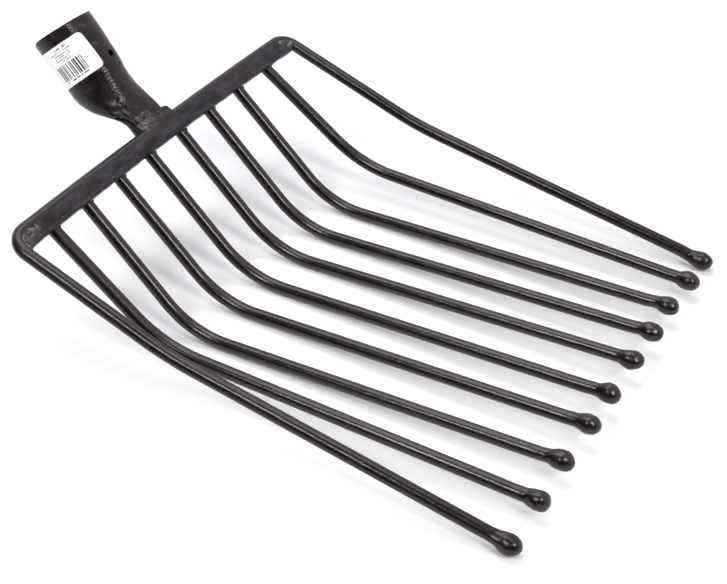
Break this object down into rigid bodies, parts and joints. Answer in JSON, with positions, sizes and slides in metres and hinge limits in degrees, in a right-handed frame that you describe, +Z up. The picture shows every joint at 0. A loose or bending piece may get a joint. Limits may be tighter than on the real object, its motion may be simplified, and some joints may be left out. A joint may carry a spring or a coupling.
{
  "type": "potato fork head",
  "caption": "Scoop-shaped fork head of round ball-tipped tines welded to a bar header with an open rolled-sheet handle socket, for lifting root crops without cutting them.",
  "frame": {"origin": "middle of the bounding box on the floor the head rests on", "axes": "+X along the header toward the socket's seam side, +Y from the socket toward the ball tips, +Z up with the head resting on its bends and outer ball tips"},
  "size_m": [0.314, 0.4294, 0.1508],
  "materials": {
    "black_paint": "semi-gloss black",
    "header_paint": "satin black",
    "socket_paint": "semi-gloss black",
    "painted_weld": "semi-gloss black over weld bead",
    "white_paper": "satin white film"
  },
  "bodies": {
    "root": {"frame_rod": "black_paint", "cross_strip": "header_paint", "strip_weld": "painted_weld", "tine_2": "black_paint", "tine_3": "black_paint", "tine_4": "black_paint", "tine_5": "black_paint", "tine_6": "black_paint", "tine_7": "black_paint", "tine_8": "black_paint", "tine_9": "black_paint", "tine_weld_2": "painted_weld", "tine_weld_3": "painted_weld", "tine_weld_4": "painted_weld", "tine_weld_5": "painted_weld", "tine_weld_6": "painted_weld", "tine_weld_7": "painted_weld", "tine_weld_8": "painted_weld", "tine_weld_9": "painted_weld", "corner_weld_left": "painted_weld", "corner_weld_right": "painted_weld", "socket": "socket_paint", "socket_seam_weld": "painted_weld", "neck_weld_back": "painted_weld", "neck_weld_mid": "painted_weld", "neck_weld_front": "painted_weld", "neck_weld_under": "painted_weld", "sticker": "white_paper"}
  },
  "joints": []
}
